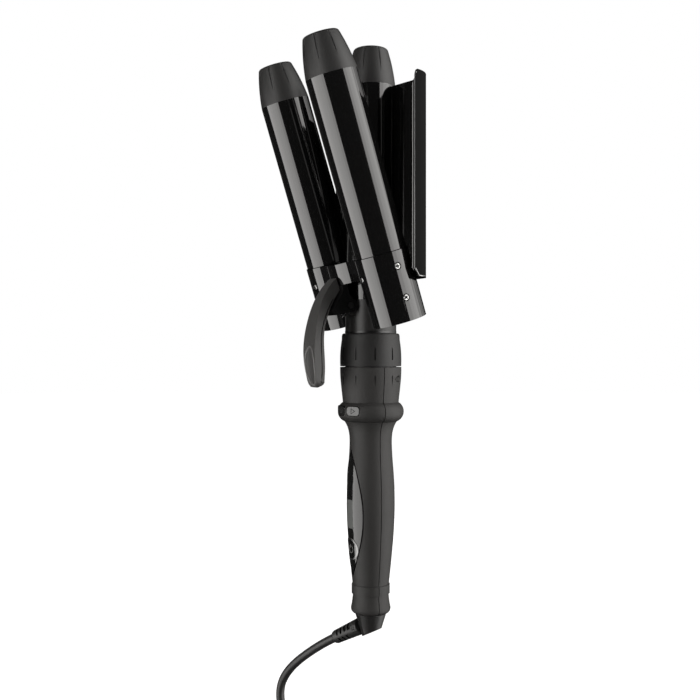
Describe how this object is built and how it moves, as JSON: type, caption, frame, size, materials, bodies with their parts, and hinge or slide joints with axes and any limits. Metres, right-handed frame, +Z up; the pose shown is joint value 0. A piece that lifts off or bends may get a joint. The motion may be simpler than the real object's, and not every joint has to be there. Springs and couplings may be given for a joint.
{
  "type": "hair waver",
  "caption": "Hair waver: a handle with keys and a display, a fixed barrel with curved heated wings, a hinged clamp of parallel barrels with a thumb lever, and a swivel cord with a plug.",
  "frame": {"origin": "middle of the hand grip, on the handle's axis", "axes": "+Z up along the handle towards the barrels, -Y the front with the lever, keys and display, +X the right side seen from behind the display"},
  "size_m": [0.1477, 0.1764, 0.473],
  "materials": {
    "soft_touch": "matte",
    "satin_black": "satin",
    "tip_black": "gloss",
    "gloss_black": "gloss",
    "heated_black": "glossy ceramic coating",
    "lcd_glass": "gloss",
    "lcd": "matte",
    "board": "matte",
    "chrome_trim": "polished",
    "steel": "plated",
    "heater_block": "plain",
    "cord_black": "satin",
    "plated_brass": "nickel plated"
  },
  "bodies": {
    "handle": {"front_shell": "soft_touch", "rear_shell": "soft_touch", "shell_screws": "steel", "collar_ring": "soft_touch", "neck_tube": "satin_black", "neck_trim_ring": "steel", "display_panel": "gloss_black", "display_window": "lcd_glass", "power_bezel": "chrome_trim", "circuit_board": "board", "lcd_module": "lcd", "switch_carrier": "board", "key_switches": "board", "plate_socket": "gloss_black", "waver_plate": "heated_black", "rear_cover": "satin_black", "cover_screws": "steel", "centre_tip": "tip_black", "centre_heater": "heater_block", "hinge_pin": "steel", "torsion_spring": "steel"},
    "clamp": {"clamp_housing": "gloss_black", "left_barrel": "heated_black", "right_barrel": "heated_black", "left_tip": "tip_black", "right_tip": "tip_black", "left_heater": "heater_block", "right_heater": "heater_block", "housing_screws": "steel", "clamp_bracket": "satin_black", "lever": "satin_black", "lever_cover": "satin_black"},
    "key_left": {"key_left": "gloss_black"},
    "key_middle": {"key_middle": "gloss_black"},
    "key_right": {"key_right": "gloss_black"},
    "power_button": {"power_button": "gloss_black"},
    "swivel": {"swivel_body": "satin_black", "strain_relief": "cord_black", "cord_tube": "cord_black", "cord_coil": "cord_black", "plug_body": "cord_black", "plug_pins": "plated_brass"}
  },
  "joints": [
    {"name": "clamp_hinge", "type": "hinge", "parent": "handle", "child": "clamp", "pos_m": [0, -0.02, 0.129], "axis": [1, 0, 0], "range_deg": [-17.4, 14], "stiffness_Nm_per_rad": 0.58, "springref_deg": -25.78},
    {"name": "key_left_press", "type": "slide", "parent": "handle", "child": "key_left", "axis": [0.515, 0.8572, 0], "range_m": [0, 0.0006], "stiffness_N_per_m": 300, "springref_m": -0.003},
    {"name": "key_middle_press", "type": "slide", "parent": "handle", "child": "key_middle", "axis": [0, 1, 0], "range_m": [0, 0.0006], "stiffness_N_per_m": 300, "springref_m": -0.003},
    {"name": "key_right_press", "type": "slide", "parent": "handle", "child": "key_right", "axis": [-0.515, 0.8572, 0], "range_m": [0, 0.0006], "stiffness_N_per_m": 300, "springref_m": -0.003},
    {"name": "power_button_press", "type": "slide", "parent": "handle", "child": "power_button", "axis": [0, 1, 0], "range_m": [0, 0.0006], "stiffness_N_per_m": 300, "springref_m": -0.003},
    {"name": "cord_swivel", "type": "hinge", "parent": "handle", "child": "swivel", "pos_m": [0, 0, -0.0746], "axis": [0, 0, 1], "continuous": true}
  ]
}
